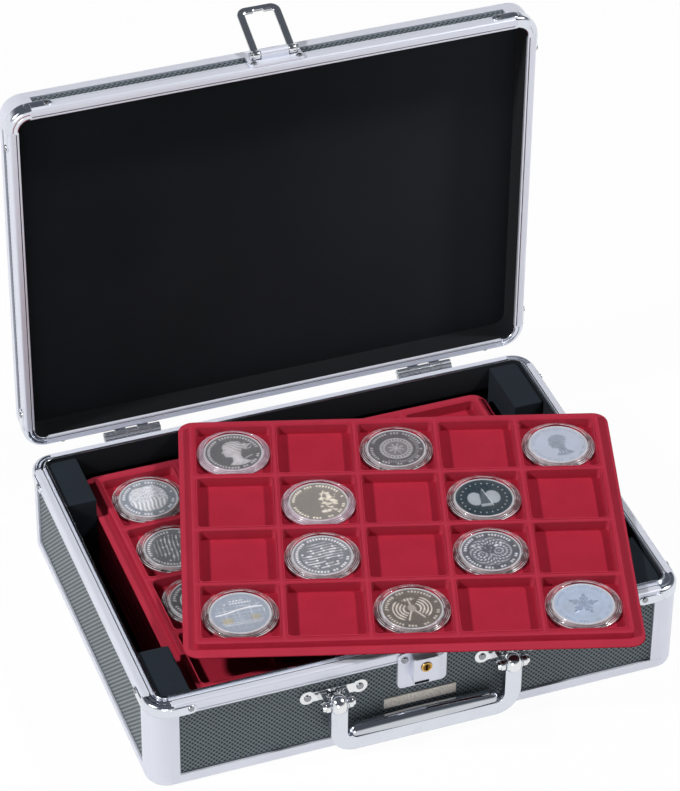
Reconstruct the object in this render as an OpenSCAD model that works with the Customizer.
// Hinged coin case of aluminium edging and embossed panels, with lift-out coin trays.
// Millimetres. The origin is the centre of the base's underside, +X right, +Y back, +Z up.

/* [Case] */
// Outer width of the case, left to right
case_w = 294; // [286:1:320]
// Outer depth of the case, front to back
case_d = 218; // [214:1:240]
// Height of the base up to the joint with the lid
base_h = 55.2; // [54:0.2:70]
// Height of the lid above the joint
lid_h = 19.8; // [19:0.2:26]
// Angle at which the lid stands open
lid_open = 90; // [60:1:95]

/* [Edging] */
// Plan radius of the rounded corners
corner_r = 12; // [11:0.5:14]
// Thickness of the edging's flanges
skin = 1.2; // [1:0.1:1.5]
// Height of the rim extrusion's outer flange
rim_h = 7; // [6:0.2:9]
// Width of the base rim's top
rim_w = 5.8; // [5.6:0.1:6.4]
// Height of the bottom and top edge rails
rail_h = 6.9; // [6:0.1:8]
// Width of the rails' flat flange
rail_w = 8; // [7:0.5:9]
// Width that a corner post shows on each wall, past the rounding
post_flange = 3.6; // [2:0.2:6]
// Thickness of the bright corner caps over the rim
cap_t = 0.7; // [0.5:0.1:1]
// Length of a corner cap's riveted tab
tab_len = 13; // [10:1:16]
// Height of the dust lip above the rim
lip_up = 1.4; // [0.8:0.1:1.6]

/* [Panels] */
// Thickness of the wall, bottom and top panels
panel_t = 3; // [2.5:0.1:3.2]
// Thickness of the inner lining
lining_t = 1.4; // [1:0.1:1.6]

/* [Hinges] */
// Distance of each hinge's middle from the case's middle
hinge_x = 86.5; // [70:0.5:95]
// Length of a hinge
hinge_len = 32; // [26:1:40]
// Radius of the hinge knuckles
knuckle_r = 2.6; // [2.2:0.1:2.7]
// Radius of the hinge pin
hinge_pin_r = 1.25; // [1:0.05:1.4]
// How far the hinge axis lies behind the rear face
hinge_back = 3; // [3:0.1:3.6]

/* [Hasp and lock] */
// Width of the lock plate
lock_w = 27; // [25:1:34]
// Width of the raised lock body
lock_body_w = 14; // [12:0.5:15]
// How far the lock body stands out of the wall
lock_out = 7; // [5.5:0.5:9]
// Radius of the brass lock plug
plug_r = 3; // [2.5:0.1:3.5]
// Height of the hasp pivot above the joint
hasp_up = 8; // [7:0.5:9]
// Distance of the hasp pivot from the front face
hasp_out = 3.2; // [3:0.1:4]
// Length of the hasp loop from its pivot
hasp_len = 30.5; // [29:0.5:33]
// Width of the hasp loop's legs
hasp_leg = 4; // [3.5:0.1:5]
// Angle between the hanging and the raised hasp loop
hasp_raised = 157; // [120:1:160]

/* [Handle] */
// Distance of each handle leg from the case's middle
handle_x = 48.2; // [40:0.5:60]
// Height of the handle pivot
handle_z = 36.5; // [35:0.5:40]
// Distance of the handle pivot from the front face
handle_out = 7; // [6.5:0.1:9]
// Width of the handle's legs
handle_leg = 9; // [7:0.5:10]
// Thickness of the handle's legs
handle_t = 4.6; // [4:0.1:5]
// Largest radius of the grip
grip_r = 4.75; // [4.2:0.05:4.9]

/* [Name plate] */
// Width of the bare name plate
plate_w = 40; // [30:1:50]
// Height of the bare name plate
plate_h = 6.4; // [5:0.1:8]
// Height of its lower edge above the floor
plate_z = 18; // [16:0.5:20]

/* [Foam blocks] */
// Width of a foam block, left to right
block_w = 17.7; // [10:0.1:20]
// Depth of a foam block, front to back
block_d = 39; // [30:0.5:45]

/* [Trays] */
// Play between the tray stack and the foam blocks on each side
play_x = 3; // [2.9:0.05:4]
// Play between the tray stack and the front and rear walls
play_y = 4.15; // [3:0.05:6]
// Thickness of the walls between compartments
divider = 3.5; // [3:0.1:4]
// Compartments across the tray
columns = 5; // [5:1:5]
// Compartments from front to back
rows = 4; // [4:1:4]
// Width of the border beside the outer compartments, left and right
border_x = 3.4; // [3:0.1:4]
// Width of the border beside the outer compartments, front and back
border_y = 4.4; // [3.6:0.1:4.6]
// Width of the stepped flange round the tray
flange_w = 6; // [4:0.1:6.5]
// Height of a tray
tray_h = 8; // [7.6:0.1:8.2]
// Depth of the compartments
pocket_depth = 6; // [5.8:0.1:6.2]
// Gap between stacked trays
stack_gap = 0.2; // [0.15:0.05:0.3]
// Shift of the stack to the left, inside its play
stack_shift = -2.6; // [-2.8:0.2:0]
// Turn of the top tray, as it lies across the case
top_turn = -17.25; // [-20:0.25:-10]
// Place of the top tray's middle, to the right
top_x = 22.4; // [16:0.2:26]
// Place of the top tray's middle, towards the front
top_y = -24; // [-28:0.5:-18]

/* [Coins and capsules] */
// Play of a capsule across its compartment
capsule_play = 0.8; // [0.6:0.1:2]
// Width of a capsule's ring round its coin
capsule_ring = 3.7; // [2.5:0.1:6]
// Thickness of a closed capsule
capsule_h = 5.6; // [5:0.1:5.6]
// Thickness of a coin
coin_t = 2.6; // [2:0.1:2.6]

/* [Hidden] */
$fn = 64;
half_w = case_w / 2;
half_d = case_d / 2;
lid_gap = 0.3;
lid_rim_w = rim_w - 0.3;
edge_r = 1.6;
rail_r = 2.4;
rim_t = 3;
lip_t = 1.4;
lip_down = rim_h + 2;
inner = rim_w + lip_t;
straight_x = case_w - 2 * corner_r;
straight_y = case_d - 2 * corner_r;
panel_low = 2 * rail_r + 0.2;
floor_z = panel_t + lining_t;
axis_y = half_d + hinge_back;
shell_h = lid_h - lid_gap;
block_gap = 0.2;
coin_gap = 0.15;
tray_w = case_w - 2 * (inner + block_gap + block_w + play_x);
tray_d = case_d - 2 * (inner + play_y);
top_w = tray_w - 2 * flange_w;
top_d = tray_d - 2 * flange_w;
pocket_x = (top_w - 2 * border_x - (columns - 1) * divider) / columns;
pocket_y = (top_d - 2 * border_y - (rows - 1) * divider) / rows;
capsule_d = min(pocket_x, pocket_y) - capsule_play;
coin_d = capsule_d - 2 * (capsule_ring + coin_gap);
stack_pitch = tray_h + stack_gap;
first_z = floor_z + stack_gap;
top_z = base_h + lip_up + lid_gap;
rivet_r = 2;
rivet_h = 0.8;
plate_t = 0.6;
lock_top = base_h - 2;
lock_low = base_h + hasp_up - hasp_len + hasp_leg + 0.5;
plate_low = lock_low - 6;
hasp_in = lock_body_w / 2 + 1;
hasp_mid = hasp_in + hasp_leg / 2;
loop_t = 2.4;
eye_r = 2.4;
hasp_pin_r = 1.2;
plug_z = base_h - 7.4;
handle_low = 4.6;
bar_h = 8;
handle_pin_r = 1.6;
run = 0.05;
lug_t = 2.4;
ear_x = 14.3;
segment_gap = 0.35;
segment = (hinge_len - 4 * segment_gap) / 5;
coin_spots_1 = [[0, 3], [2, 3], [4, 3], [1, 2], [3, 2], [1, 1], [3, 1], [0, 0], [2, 0], [4, 0]];
coin_spots_2 = [[0, 3], [0, 2], [0, 1]];

silver = [0.82, 0.83, 0.86];
bright = [0.9, 0.9, 0.92];
dark = [0.2, 0.22, 0.25];
black = [0.08, 0.08, 0.09];
red = [0.62, 0.12, 0.2];

// A profile drawn as (distance in from the face, height), run along one side of the case.
module run_front(len, off) {
  translate([0, -off, 0])
    rotate([90, 0, 90])
      linear_extrude(height = len, center = true)
        children();
}

module run_side(side, extra = 0) {
  if (side == "front") run_front(straight_x + extra, half_d) children();
  if (side == "rear") rotate([0, 0, 180]) run_front(straight_x + extra, half_d) children();
  if (side == "left") rotate([0, 0, -90]) run_front(straight_y + extra, half_w) children();
  if (side == "right") rotate([0, 0, 90]) run_front(straight_y + extra, half_w) children();
}

module run_all() {
  for (side = ["front", "rear", "left", "right"])
    run_side(side) children();
}

// The same profile turned round one rounded corner, and that at all four corners.
module corner_turn() {
  rotate([0, 0, 180])
    rotate_extrude(angle = 90)
      translate([corner_r, 0])
        mirror([1, 0])
          children();
}

module at_corners() {
  for (sx = [0, 1], sy = [0, 1])
    mirror([sx, 0, 0])
      mirror([0, sy, 0])
        translate([corner_r - half_w, corner_r - half_d, 0])
          children();
}

module rim_profile(h, w, out = 0) {
  difference() {
    union() {
      translate([edge_r - out, h - rim_t]) square([w + out - edge_r, rim_t]);
      translate([-out, h - rim_h]) square([skin + out, rim_h - edge_r]);
      translate([-out, h - rim_t]) square([edge_r, rim_t - edge_r]);
      translate([edge_r - out, h - edge_r]) circle(edge_r);
    }
    translate([-out - 1, h - rim_h + 1.1]) square([1.3, 0.5]);
    translate([w - 1.5, h - 0.5]) square([0.5, 1]);
  }
}

module rail_profile() {
  union() {
    translate([0, rail_r]) square([skin, rail_h - rail_r]);
    translate([rail_r, 0]) square([rail_w - rail_r, skin]);
    difference() {
      translate([rail_r, rail_r]) circle(rail_r);
      translate([rail_r, rail_r]) circle(rail_r - skin);
      translate([rail_r, 0]) square([rail_r, 2 * rail_r]);
      translate([0, rail_r]) square([2 * rail_r, rail_r]);
    }
  }
}

module post_set(h) {
  at_corners()
    translate([0, 0, rail_h])
      linear_extrude(height = h - rim_h - rail_h) {
        difference() {
          circle(corner_r);
          circle(corner_r - skin);
          translate([0, -corner_r]) square(2 * corner_r);
          translate([-corner_r, 0]) square(2 * corner_r);
        }
        translate([0, -corner_r]) square([post_flange, skin]);
        translate([-corner_r, 0]) square([skin, post_flange]);
      }
}

module rim_corner_set(h, w) {
  at_corners() {
    corner_turn() rim_profile(h, w, cap_t);
    translate([0, -corner_r - cap_t, h - rim_h + 1.6]) cube([tab_len, cap_t, rim_h - 3.2]);
    translate([-corner_r - cap_t, 0, h - rim_h + 1.6]) cube([cap_t, tab_len, rim_h - 3.2]);
  }
}

module wall(side, h) {
  run_side(side, -0.4)
    translate([skin, panel_low]) square([panel_t, h - rim_t - 0.4 - panel_low]);
}

module wall_lining(h, w) {
  run_all()
    translate([skin + panel_t, floor_z]) square([w - skin - panel_t, h - rim_t - 0.4 - floor_z]);
}

module flat_panel() {
  linear_extrude(height = panel_t)
    round_rect(case_w - 2 * rail_w, case_d - 2 * rail_w, corner_r - rail_w);
}

module floor_sheet(w) {
  translate([w - half_w, w - half_d, panel_t])
    cube([case_w - 2 * w, case_d - 2 * w, lining_t]);
}

module rivet() {
  cylinder(h = rivet_h, r1 = rivet_r, r2 = rivet_r - 0.7);
}

module small_rivet() {
  cylinder(h = rivet_h, r1 = 1.7, r2 = 1.1);
}

module corner_rivets(h) {
  at_corners() {
    translate([tab_len - 3.2, -corner_r - cap_t, h - rim_h / 2])
      rotate([90, 0, 0]) small_rivet();
    translate([-corner_r - cap_t, tab_len - 3.2, h - rim_h / 2])
      rotate([0, -90, 0]) small_rivet();
  }
}

// Pieces of the base.
module base_bottom_panel() color(dark) flat_panel();
module base_front_panel() color(dark) wall("front", base_h);
module base_rear_panel() color(dark) wall("rear", base_h);
module base_left_panel() color(dark) wall("left", base_h);
module base_right_panel() color(dark) wall("right", base_h);
module base_front_rim() color(silver) run_side("front") rim_profile(base_h, rim_w);
module base_rear_rim() color(silver) run_side("rear") rim_profile(base_h, rim_w);
module base_left_rim() color(silver) run_side("left") rim_profile(base_h, rim_w);
module base_right_rim() color(silver) run_side("right") rim_profile(base_h, rim_w);
module base_rails() color(silver) run_all() rail_profile();
module base_posts() color(silver) post_set(base_h);
module base_rim_corners() color(bright) rim_corner_set(base_h, rim_w);
module base_foot_corners() color(silver) at_corners() corner_turn() rail_profile();
module base_floor_lining() color(black) floor_sheet(inner);
module base_wall_lining() color(black) wall_lining(base_h, rim_w);

module base_dust_lip() {
  color(silver)
    run_all()
      translate([rim_w, base_h - lip_down]) square([lip_t, lip_down + lip_up]);
}

module foam_block(sx, sy) {
  color(black)
    mirror([sx, 0, 0])
      mirror([0, sy, 0])
        translate([inner + block_gap - half_w, inner + block_gap - half_d, floor_z])
          linear_extrude(height = base_h - 0.7 - floor_z)
            union() {
              translate([4, 0]) square([block_w - 4, block_d]);
              translate([0, 4]) square([block_w, block_d - 4]);
              translate([4, 4]) circle(4);
            }
}

module foam_block_fl() foam_block(0, 0);
module foam_block_fr() foam_block(1, 0);
module foam_block_rl() foam_block(0, 1);
module foam_block_rr() foam_block(1, 1);

// A plate with rounded corners standing on a wall, drawn in (x, height).
module wall_plate(x0, x1, z0, z1, r, t) {
  rotate([90, 0, 0])
    linear_extrude(height = t)
      union() {
        translate([x0 + r, z0]) square([x1 - x0 - 2 * r, z1 - z0]);
        translate([x0, z0 + r]) square([x1 - x0, z1 - z0 - 2 * r]);
        for (x = [x0 + r, x1 - r], z = [z0 + r, z1 - r])
          translate([x, z]) circle(r);
      }
}

module lock_plate() {
  color(bright) {
    translate([0, -half_d, 0])
      wall_plate(-lock_w / 2, lock_w / 2, plate_low, base_h - 0.6, 3, 1.2);
    translate([0, skin - half_d, 0])
      wall_plate(-lock_w / 2, lock_w / 2, plate_low, base_h - rim_h - 0.2, 3, skin);
  }
}

module lock_body() {
  color(silver)
    difference() {
      translate([0, -half_d - 1.2, 0])
        wall_plate(-lock_body_w / 2, lock_body_w / 2, lock_low, lock_top, 1.5, lock_out - 1.2);
      translate([0, -half_d - lock_out - 1, plug_z])
        rotate([-90, 0, 0]) cylinder(h = 6, r = plug_r + run);
      translate([-4, -half_d - lock_out + 1.2, lock_low - 1]) cube([8, 2.6, 2.4]);
    }
}

module lock_plug() {
  color([0.8, 0.62, 0.25])
    difference() {
      translate([0, -half_d - lock_out - 0.3, plug_z])
        rotate([-90, 0, 0]) cylinder(h = 4.8, r = plug_r);
      translate([-0.6, -half_d - lock_out - 1, plug_z - plug_r + 0.8]) cube([1.2, 2.6, 2 * plug_r - 1.6]);
    }
}

module name_plate() {
  color([0.85, 0.82, 0.78])
    translate([-plate_w / 2, skin - half_d - plate_t, plate_z]) cube([plate_w, plate_t, plate_h]);
}

module handle_bracket(side) {
  x = side * handle_x;
  color(bright)
    difference() {
      union() {
        translate([x, skin - half_d, 0]) {
          translate([-ear_x, -1.4, handle_z - 0.6]) cube([2 * ear_x, 1.4, 6.2]);
          for (s = [-1, 1])
            translate([s * ear_x, 0, handle_z + 2.5])
              rotate([90, 0, 0]) cylinder(h = 1.4, r = 4.2);
          translate([-handle_leg / 2 - 0.4 - lug_t, -1.4, handle_z - 4]) cube([handle_leg + 0.8 + 2 * lug_t, 1.4, 8]);
        }
        for (s = [-1, 1])
          translate([x + s * (handle_leg / 2 + 0.4 + lug_t / 2), 0, 0]) {
            translate([-lug_t / 2, -half_d - handle_out, handle_z - 3.2]) cube([lug_t, handle_out + skin, 6.4]);
            translate([-lug_t / 2, -half_d - handle_out, handle_z]) rotate([0, 90, 0]) cylinder(h = lug_t, r = 3.2);
          }
      }
      translate([x - 20, -half_d - handle_out, handle_z]) rotate([0, 90, 0]) cylinder(h = 40, r = handle_pin_r);
    }
}

module handle_bracket_left() handle_bracket(-1);
module handle_bracket_right() handle_bracket(1);

module handle_pins() {
  len = handle_leg + 0.8 + 2 * lug_t;
  color(bright)
    for (s = [-1, 1])
      translate([s * handle_x, -half_d - handle_out, handle_z])
        rotate([0, 90, 0]) {
          translate([0, 0, -len / 2]) cylinder(h = len, r = handle_pin_r);
          for (e = [0, 1])
            mirror([0, 0, e])
              translate([0, 0, len / 2]) cylinder(h = 1.6, r1 = 2.7, r2 = 2.1);
        }
}

module handle_frame() {
  x0 = handle_x - handle_leg / 2;
  x1 = handle_x + handle_leg / 2;
  inner_z = handle_low + bar_h;
  color(silver)
    difference() {
      union() {
        translate([0, handle_t / 2 - half_d - handle_out, 0])
          rotate([90, 0, 0])
            linear_extrude(height = handle_t)
              difference() {
                union() {
                  translate([-x1, handle_low + 14]) square([2 * x1, handle_z - handle_low - 14]);
                  translate([14 - x1, handle_low]) square([2 * x1 - 28, 15]);
                  for (s = [-1, 1])
                    translate([s * (x1 - 14), handle_low + 14]) circle(14);
                }
                translate([-x0, inner_z + 5]) square([2 * x0, handle_z]);
                translate([5 - x0, inner_z]) square([2 * x0 - 10, 8]);
                for (s = [-1, 1])
                  translate([s * (x0 - 5), inner_z + 5]) circle(5);
              }
        for (s = [-1, 1])
          translate([s * handle_x - handle_leg / 2, -half_d - handle_out, handle_z])
            rotate([0, 90, 0]) cylinder(h = handle_leg, r = 3.6);
      }
      translate([-handle_x - 20, -half_d - handle_out, handle_z])
        rotate([0, 90, 0]) cylinder(h = 2 * handle_x + 40, r = handle_pin_r + run);
    }
}

module handle_grip() {
  len = 2 * (handle_x - handle_leg / 2) - 12;
  front = half_d + handle_out + handle_t / 2;
  color(bright)
    difference() {
      translate([0, grip_r + 0.05 - front, handle_low + bar_h])
        rotate([0, 90, 0])
          for (e = [0, 1])
            mirror([0, 0, e]) {
              cylinder(h = len / 5, r = grip_r);
              translate([0, 0, len / 5]) cylinder(h = 3 * len / 10, r1 = grip_r, r2 = grip_r - 1.2);
            }
      translate([-len, -front, handle_low - 5]) cube([2 * len, handle_t, bar_h + 5]);
    }
}

module base_rivets() {
  color(bright) {
    corner_rivets(base_h);
    for (s = [-1, 1]) {
      translate([s * (lock_w / 2 - 3.6), -half_d - 1.2, base_h - 5])
        rotate([90, 0, 0]) rivet();
      for (e = [-1, 1])
        translate([s * handle_x + e * ear_x, skin - half_d - 1.4, handle_z + 2.5])
          rotate([90, 0, 0]) rivet();
      for (e = [-1, 0, 1])
        translate([s * hinge_x + e * hinge_len / 3, half_d + 1.2, base_h - 10])
          rotate([-90, 0, 0]) small_rivet();
    }
  }
}

// One hinge leaf: a plate, and webs to the knuckles of the given segments. Up is +1 for the lid.
module hinge_leaf(up, segments, bore) {
  for (s = [-1, 1])
    difference() {
      union() {
        translate([s * hinge_x - hinge_len / 2, half_d, base_h + (up > 0 ? 3.4 : -15)])
          cube([hinge_len, 1.2, up > 0 ? 10.6 : 11.6]);
        for (i = segments) {
          x = s * hinge_x - hinge_len / 2 + i * (segment + segment_gap);
          translate([x, half_d, base_h - (up > 0 ? 0 : 3.4)]) cube([segment, 1.2, 3.4]);
          translate([x, axis_y, base_h]) rotate([0, 90, 0]) cylinder(h = segment, r = knuckle_r);
        }
      }
      translate([s * hinge_x - hinge_len, axis_y, base_h])
        rotate([0, 90, 0]) cylinder(h = 2 * hinge_len, r = bore);
    }
}

module hinge_base_leaves() color(silver) hinge_leaf(-1, [0, 2, 4], hinge_pin_r);

module hinge_pins() {
  color(bright)
    for (s = [-1, 1])
      translate([s * hinge_x - hinge_len / 2 - 0.4, axis_y, base_h])
        rotate([0, 90, 0]) cylinder(h = hinge_len + 0.8, r = hinge_pin_r);
}

// The lid is drawn closed as a low shell upside down, then swung open about the hinge.
module swung() {
  translate([0, axis_y, base_h])
    rotate([-lid_open, 0, 0])
      translate([0, -axis_y, -base_h])
        children();
}

module lid_shell() {
  swung()
    translate([0, 0, base_h + lid_h])
      mirror([0, 0, 1])
        children();
}

module lid_top_panel() color(dark) lid_shell() flat_panel();
module lid_wall_panels() color(dark) lid_shell() for (s = ["front", "rear", "left", "right"]) wall(s, shell_h);
module lid_front_rim() color(silver) lid_shell() run_side("front") rim_profile(shell_h, lid_rim_w);
module lid_rear_rim() color(silver) lid_shell() run_side("rear") rim_profile(shell_h, lid_rim_w);
module lid_left_rim() color(silver) lid_shell() run_side("left") rim_profile(shell_h, lid_rim_w);
module lid_right_rim() color(silver) lid_shell() run_side("right") rim_profile(shell_h, lid_rim_w);
module lid_rails() color(silver) lid_shell() run_all() rail_profile();
module lid_posts() color(silver) lid_shell() post_set(shell_h);
module lid_rim_corners() color(bright) lid_shell() rim_corner_set(shell_h, lid_rim_w);
module lid_top_corners() color(silver) lid_shell() at_corners() corner_turn() rail_profile();
module lid_ceiling_lining() color(black) lid_shell() floor_sheet(lid_rim_w);
module lid_wall_lining() color(black) lid_shell() wall_lining(shell_h, lid_rim_w);
module hinge_lid_leaves() color(silver) swung() hinge_leaf(1, [1, 3], hinge_pin_r + run);

module hasp_base() {
  color(bright)
    swung()
      difference() {
        union() {
          translate([0, -half_d, 0])
            wall_plate(-15, 15, base_h + 1, base_h + 13.6, 2, 1.2);
          translate([0.4 - hasp_in, -half_d - hasp_out, base_h + hasp_up - 2.6]) cube([2 * hasp_in - 0.8, hasp_out, 5.2]);
          translate([0.4 - hasp_in, -half_d - hasp_out, base_h + hasp_up])
            rotate([0, 90, 0]) cylinder(h = 2 * hasp_in - 0.8, r = 2.6);
        }
        translate([-20, -half_d - hasp_out, base_h + hasp_up])
          rotate([0, 90, 0]) cylinder(h = 40, r = hasp_pin_r);
        for (s = [-1, 1])
          translate([s * hasp_mid - hasp_leg / 2 - 0.4, -half_d - hasp_out, base_h + hasp_up])
            rotate([0, 90, 0]) cylinder(h = hasp_leg + 0.8, r = eye_r + 0.4);
      }
}

module hasp_pin() {
  len = 2 * (hasp_in + hasp_leg) + 0.8;
  color(bright)
    swung()
      translate([-len / 2, -half_d - hasp_out, base_h + hasp_up])
        rotate([0, 90, 0]) {
          cylinder(h = len, r = hasp_pin_r);
          translate([0, 0, -1]) cylinder(h = 1, r = 2);
          translate([0, 0, len]) cylinder(h = 1, r = 2);
        }
}

module hasp_loop() {
  w = 2 * (hasp_in + hasp_leg);
  color(bright)
    swung()
      translate([0, -half_d - hasp_out, base_h + hasp_up])
        rotate([-hasp_raised, 0, 0])
          difference() {
            union() {
              translate([0, loop_t / 2, 0])
                rotate([90, 0, 0])
                  linear_extrude(height = loop_t)
                    difference() {
                      union() {
                        translate([-w / 2, 5 - hasp_len]) square([w, hasp_len - 5]);
                        translate([5 - w / 2, -hasp_len]) square([w - 10, 6]);
                        for (s = [-1, 1])
                          translate([s * (w / 2 - 5), 5 - hasp_len]) circle(5);
                      }
                      translate([-hasp_in, hasp_leg + 2 - hasp_len]) square([2 * hasp_in, hasp_len]);
                      translate([2 - hasp_in, hasp_leg - hasp_len]) square([2 * hasp_in - 4, 4]);
                      for (s = [-1, 1])
                        translate([s * (hasp_in - 2), hasp_leg + 2 - hasp_len]) circle(2);
                      translate([-3, hasp_leg - hasp_len - 1.2]) square([6, 2]);
                    }
              for (s = [-1, 1])
                translate([s * hasp_mid - hasp_leg / 2, 0, 0])
                  rotate([0, 90, 0]) cylinder(h = hasp_leg, r = eye_r);
            }
            translate([-20, 0, 0]) rotate([0, 90, 0]) cylinder(h = 40, r = hasp_pin_r + run);
          }
}

module lid_rivets() {
  color(bright)
    swung() {
      translate([0, 0, base_h + lid_h])
        mirror([0, 0, 1]) corner_rivets(shell_h);
      for (s = [-1, 1]) {
        translate([s * 12.6, -half_d - 1.2, base_h + 3.4])
          rotate([90, 0, 0]) small_rivet();
        for (e = [-1, 0, 1])
          translate([s * hinge_x + e * hinge_len / 3, half_d + 1.2, base_h + 9.5])
            rotate([-90, 0, 0]) small_rivet();
      }
    }
}

// A rounded rectangle in plan, centred.
module round_rect(w, d, r) {
  square([w - 2 * r, d], center = true);
  square([w, d - 2 * r], center = true);
  for (x = [r - w / 2, w / 2 - r], y = [r - d / 2, d / 2 - r])
    translate([x, y]) circle(r);
}

function spot_x(i) = (i - (columns - 1) / 2) * (pocket_x + divider);
function spot_y(j) = (j - (rows - 1) / 2) * (pocket_y + divider);

// A tray standing on z = 0: the body, the stepped flange and the compartments.
module tray() {
  difference() {
    union() {
      linear_extrude(height = tray_h) round_rect(top_w, top_d, 5);
      translate([0, 0, tray_h - 5.2]) linear_extrude(height = 1.2) round_rect(tray_w, tray_d, 8);
    }
    for (i = [0 : columns - 1], j = [0 : rows - 1])
      translate([spot_x(i), spot_y(j), tray_h - pocket_depth])
        linear_extrude(height = pocket_depth + 1) round_rect(pocket_x, pocket_y, 2.5);
  }
}

module in_stack(level) {
  translate([stack_shift, 0, first_z + level * stack_pitch]) children();
}

module on_top() {
  translate([top_x, top_y, top_z]) rotate([0, 0, top_turn]) children();
}

module tray_1() color(red) on_top() tray();
module tray_2() color(red) in_stack(4) tray();
module tray_3() color(red) in_stack(3) tray();
module tray_4() color(red) in_stack(2) tray();
module tray_5() color(red) in_stack(1) tray();
module tray_6() color(red) in_stack(0) tray();

// Clear capsules in two halves round a coin, on the floors of the given compartments.
module capsules(spots) {
  half = capsule_h / 2;
  room = (coin_t + 0.2) / 2;
  for (p = spots)
    translate([spot_x(p[0]), spot_y(p[1]), tray_h - pocket_depth + half])
      for (e = [0, 1])
        mirror([0, 0, e])
          difference() {
            translate([0, 0, 0.05]) cylinder(h = half - 0.05, r = capsule_d / 2);
            translate([0, 0, -1]) cylinder(h = room + 1, r = coin_d / 2 + coin_gap);
          }
}

module coins(spots) {
  for (p = spots)
    translate([spot_x(p[0]), spot_y(p[1]), tray_h - pocket_depth + (capsule_h - coin_t) / 2 - 0.1])
      cylinder(h = coin_t, r = coin_d / 2);
}

module tray_1_capsules() color([0.9, 0.9, 0.95, 0.4]) on_top() capsules(coin_spots_1);
module tray_1_coins() color(silver) on_top() coins(coin_spots_1);
module tray_2_capsules() color([0.9, 0.9, 0.95, 0.4]) in_stack(4) capsules(coin_spots_2);
module tray_2_coins() color(silver) in_stack(4) coins(coin_spots_2);

base_bottom_panel();
base_front_panel();
base_rear_panel();
base_left_panel();
base_right_panel();
base_front_rim();
base_rear_rim();
base_left_rim();
base_right_rim();
base_dust_lip();
base_rails();
base_posts();
base_rim_corners();
base_foot_corners();
base_floor_lining();
base_wall_lining();
foam_block_fl();
foam_block_fr();
foam_block_rl();
foam_block_rr();
lock_plate();
lock_body();
lock_plug();
name_plate();
handle_bracket_left();
handle_bracket_right();
handle_pins();
handle_frame();
handle_grip();
base_rivets();
hinge_base_leaves();
hinge_pins();
lid_top_panel();
lid_wall_panels();
lid_front_rim();
lid_rear_rim();
lid_left_rim();
lid_right_rim();
lid_rails();
lid_posts();
lid_rim_corners();
lid_top_corners();
lid_ceiling_lining();
lid_wall_lining();
hinge_lid_leaves();
hasp_base();
hasp_pin();
hasp_loop();
lid_rivets();
tray_1();
tray_2();
tray_3();
tray_4();
tray_5();
tray_6();
tray_1_capsules();
tray_1_coins();
tray_2_capsules();
tray_2_coins();
